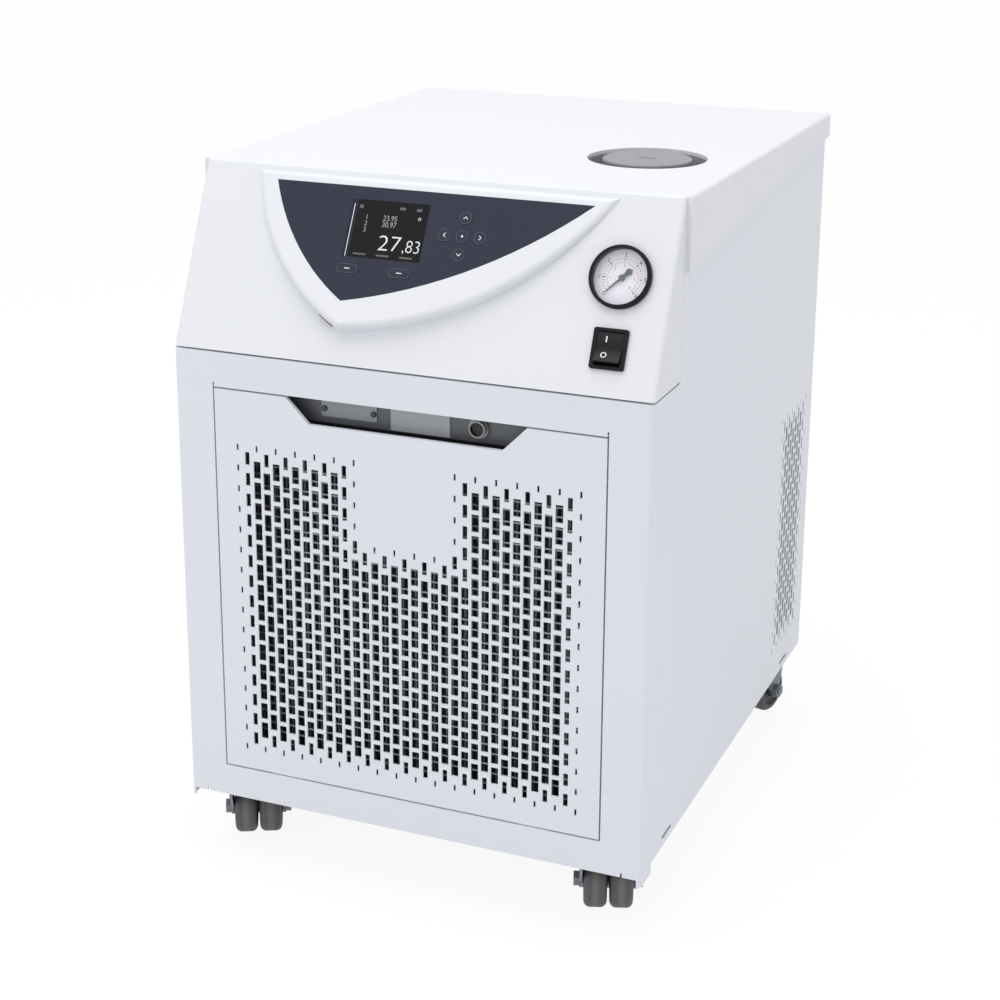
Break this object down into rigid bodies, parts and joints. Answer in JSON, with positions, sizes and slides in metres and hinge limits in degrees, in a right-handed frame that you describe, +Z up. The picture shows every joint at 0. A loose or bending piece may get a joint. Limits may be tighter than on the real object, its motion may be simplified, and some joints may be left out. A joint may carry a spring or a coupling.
{
  "type": "recirculating chiller on castors",
  "caption": "Floor-standing recirculating chiller with a moulded hood, a shield-shaped control panel, a pressure gauge, a rocker switch, a perforated pull-off grille and twin-wheel castors",
  "frame": {"origin": "on the floor, at the middle of the unit's own box", "axes": "+Z up, front towards -Y, +X to the right seen from the front"},
  "size_m": [0.45, 0.58, 0.65],
  "materials": {
    "powder_coat": "satin",
    "hood_plastic": "satin",
    "grille_coat": "satin",
    "panel_plastic": "satin",
    "display_glass": "gloss",
    "black_plastic": "satin",
    "black_gloss": "gloss",
    "board": "satin",
    "dial_white": "satin",
    "clear_lens": "gloss",
    "grey_plastic": "satin",
    "cap_plastic": "satin",
    "tank_plastic": "satin",
    "zinc_sheet": "satin",
    "cover_plastic": "satin",
    "bright_metal": "gloss",
    "brass": "satin",
    "fin_aluminium": "satin",
    "copper": "satin",
    "black_metal": "satin",
    "rubber": "matte",
    "pump_metal": "satin",
    "steel": "satin",
    "key_rubber": "matte",
    "zinc_castor": "satin",
    "wheel_rubber": "satin"
  },
  "bodies": {
    "chassis": {"casing": "powder_coat", "hood": "hood_plastic", "control_panel": "panel_plastic", "display_window": "display_glass", "display_module": "black_plastic", "control_board": "board", "gauge_case": "black_plastic", "gauge_dial": "dial_white", "gauge_lens": "clear_lens", "switch_frame": "black_plastic", "filler_collar": "grey_plastic", "tank": "tank_plastic", "interface_panel": "zinc_sheet", "blanking_plate": "zinc_sheet", "panel_screws": "zinc_sheet", "module_cover": "cover_plastic", "signal_connector": "bright_metal", "rear_panel": "powder_coat", "base_tray": "zinc_sheet", "mid_shelf": "zinc_sheet", "hose_fittings": "brass", "mains_gland": "black_plastic", "drain_plug": "black_plastic", "condenser_fins": "fin_aluminium", "condenser_tubes": "copper", "fan_shroud": "zinc_sheet", "fan_motor": "black_metal", "compressor": "black_metal", "compressor_mounts": "rubber", "circulation_pump": "pump_metal", "evaporator": "steel", "refrigerant_pipes": "copper", "water_hoses": "rubber", "castor_plates": "zinc_castor"},
    "front_grille": {"front_grille": "grille_coat"},
    "gauge_needle": {"gauge_needle": "black_plastic"},
    "switch_rocker": {"switch_rocker": "black_gloss"},
    "filler_cap": {"filler_cap": "cap_plastic"},
    "fan_rotor": {"fan_rotor": "black_plastic"},
    "key_softkey_left": {"key_softkey_left": "key_rubber"},
    "key_softkey_right": {"key_softkey_right": "key_rubber"},
    "key_up": {"key_up": "key_rubber"},
    "key_down": {"key_down": "key_rubber"},
    "key_left": {"key_left": "key_rubber"},
    "key_right": {"key_right": "key_rubber"},
    "key_enter": {"key_enter": "key_rubber"},
    "castor_fork_front_left": {"castor_fork_front_left": "zinc_castor"},
    "castor_wheel_front_left_left": {"castor_wheel_front_left_left": "wheel_rubber"},
    "castor_wheel_front_left_right": {"castor_wheel_front_left_right": "wheel_rubber"},
    "castor_fork_front_right": {"castor_fork_front_right": "zinc_castor"},
    "castor_wheel_front_right_left": {"castor_wheel_front_right_left": "wheel_rubber"},
    "castor_wheel_front_right_right": {"castor_wheel_front_right_right": "wheel_rubber"},
    "castor_fork_rear_left": {"castor_fork_rear_left": "zinc_castor"},
    "castor_wheel_rear_left_left": {"castor_wheel_rear_left_left": "wheel_rubber"},
    "castor_wheel_rear_left_right": {"castor_wheel_rear_left_right": "wheel_rubber"},
    "castor_fork_rear_right": {"castor_fork_rear_right": "zinc_castor"},
    "castor_wheel_rear_right_left": {"castor_wheel_rear_right_left": "wheel_rubber"},
    "castor_wheel_rear_right_right": {"castor_wheel_rear_right_right": "wheel_rubber"},
    "brake_pedal_front_left": {"brake_pedal_front_left": "black_plastic"},
    "brake_pedal_front_right": {"brake_pedal_front_right": "black_plastic"}
  },
  "joints": [
    {"name": "grille_pull", "type": "slide", "parent": "chassis", "child": "front_grille", "axis": [0, -1, 0], "range_m": [0, 0.06]},
    {"name": "needle_turn", "type": "hinge", "parent": "chassis", "child": "gauge_needle", "pos_m": [0.1765, -0.24886, 0.58569], "axis": [0, 0.9124, -0.4094], "range_deg": [0, 270]},
    {"name": "rocker_tilt", "type": "hinge", "parent": "chassis", "child": "switch_rocker", "pos_m": [0.1763, -0.27048, 0.53018], "axis": [1, 0, 0], "range_deg": [0, 18]},
    {"name": "cap_lift", "type": "slide", "parent": "chassis", "child": "filler_cap", "axis": [0, 0, 1], "range_m": [0, 0.04]},
    {"name": "fan_spin", "type": "hinge", "parent": "chassis", "child": "fan_rotor", "pos_m": [0, -0.187, 0.262], "axis": [0, 1, 0], "continuous": true},
    {"name": "key_softkey_left_press", "type": "slide", "parent": "chassis", "child": "key_softkey_left", "axis": [0, 0.8761, -0.4821], "range_m": [0, 0.0008], "stiffness_N_per_m": 400, "springref_m": -0.001},
    {"name": "key_softkey_right_press", "type": "slide", "parent": "chassis", "child": "key_softkey_right", "axis": [0, 0.8761, -0.4821], "range_m": [0, 0.0008], "stiffness_N_per_m": 400, "springref_m": -0.001},
    {"name": "key_up_press", "type": "slide", "parent": "chassis", "child": "key_up", "axis": [0, 0.8761, -0.4821], "range_m": [0, 0.0008], "stiffness_N_per_m": 400, "springref_m": -0.001},
    {"name": "key_down_press", "type": "slide", "parent": "chassis", "child": "key_down", "axis": [0, 0.8761, -0.4821], "range_m": [0, 0.0008], "stiffness_N_per_m": 400, "springref_m": -0.001},
    {"name": "key_left_press", "type": "slide", "parent": "chassis", "child": "key_left", "axis": [0, 0.8761, -0.4821], "range_m": [0, 0.0008], "stiffness_N_per_m": 400, "springref_m": -0.001},
    {"name": "key_right_press", "type": "slide", "parent": "chassis", "child": "key_right", "axis": [0, 0.8761, -0.4821], "range_m": [0, 0.0008], "stiffness_N_per_m": 400, "springref_m": -0.001},
    {"name": "key_enter_press", "type": "slide", "parent": "chassis", "child": "key_enter", "axis": [0, 0.8761, -0.4821], "range_m": [0, 0.0008], "stiffness_N_per_m": 400, "springref_m": -0.001},
    {"name": "castor_fork_front_left_swivel", "type": "hinge", "parent": "chassis", "child": "castor_fork_front_left", "pos_m": [-0.177, -0.2445, 0.065], "axis": [0, 0, 1], "continuous": true},
    {"name": "castor_wheel_front_left_left_roll", "type": "hinge", "parent": "castor_fork_front_left", "child": "castor_wheel_front_left_left", "pos_m": [-0.18517, -0.22846, 0.025], "axis": [-0.891, -0.454, 0], "continuous": true},
    {"name": "castor_wheel_front_left_right_roll", "type": "hinge", "parent": "castor_fork_front_left", "child": "castor_wheel_front_left_right", "pos_m": [-0.18517, -0.22846, 0.025], "axis": [-0.891, -0.454, 0], "continuous": true},
    {"name": "castor_fork_front_right_swivel", "type": "hinge", "parent": "chassis", "child": "castor_fork_front_right", "pos_m": [0.177, -0.2445, 0.065], "axis": [0, 0, 1], "continuous": true},
    {"name": "castor_wheel_front_right_left_roll", "type": "hinge", "parent": "castor_fork_front_right", "child": "castor_wheel_front_right_left", "pos_m": [0.17084, -0.22759, 0.025], "axis": [-0.9397, -0.342, 0], "continuous": true},
    {"name": "castor_wheel_front_right_right_roll", "type": "hinge", "parent": "castor_fork_front_right", "child": "castor_wheel_front_right_right", "pos_m": [0.17084, -0.22759, 0.025], "axis": [-0.9397, -0.342, 0], "continuous": true},
    {"name": "castor_fork_rear_left_swivel", "type": "hinge", "parent": "chassis", "child": "castor_fork_rear_left", "pos_m": [-0.177, 0.2095, 0.065], "axis": [0, 0, 1], "continuous": true},
    {"name": "castor_wheel_rear_left_left_roll", "type": "hinge", "parent": "castor_fork_rear_left", "child": "castor_wheel_rear_left_left", "pos_m": [-0.177, 0.2275, 0.025], "axis": [-1, 0, 0], "continuous": true},
    {"name": "castor_wheel_rear_left_right_roll", "type": "hinge", "parent": "castor_fork_rear_left", "child": "castor_wheel_rear_left_right", "pos_m": [-0.177, 0.2275, 0.025], "axis": [-1, 0, 0], "continuous": true},
    {"name": "castor_fork_rear_right_swivel", "type": "hinge", "parent": "chassis", "child": "castor_fork_rear_right", "pos_m": [0.177, 0.2095, 0.065], "axis": [0, 0, 1], "continuous": true},
    {"name": "castor_wheel_rear_right_left_roll", "type": "hinge", "parent": "castor_fork_rear_right", "child": "castor_wheel_rear_right_left", "pos_m": [0.18166, 0.22689, 0.025], "axis": [-0.9659, 0.2588, 0], "continuous": true},
    {"name": "castor_wheel_rear_right_right_roll", "type": "hinge", "parent": "castor_fork_rear_right", "child": "castor_wheel_rear_right_right", "pos_m": [0.18166, 0.22689, 0.025], "axis": [-0.9659, 0.2588, 0], "continuous": true},
    {"name": "brake_pedal_front_left_press", "type": "hinge", "parent": "castor_fork_front_left", "child": "brake_pedal_front_left", "pos_m": [-0.18926, -0.22044, 0.053], "axis": [-0.891, -0.454, 0], "range_deg": [0, 12]},
    {"name": "brake_pedal_front_right_press", "type": "hinge", "parent": "castor_fork_front_right", "child": "brake_pedal_front_right", "pos_m": [0.16776, -0.21913, 0.053], "axis": [-0.9397, -0.342, 0], "range_deg": [0, 12]}
  ]
}
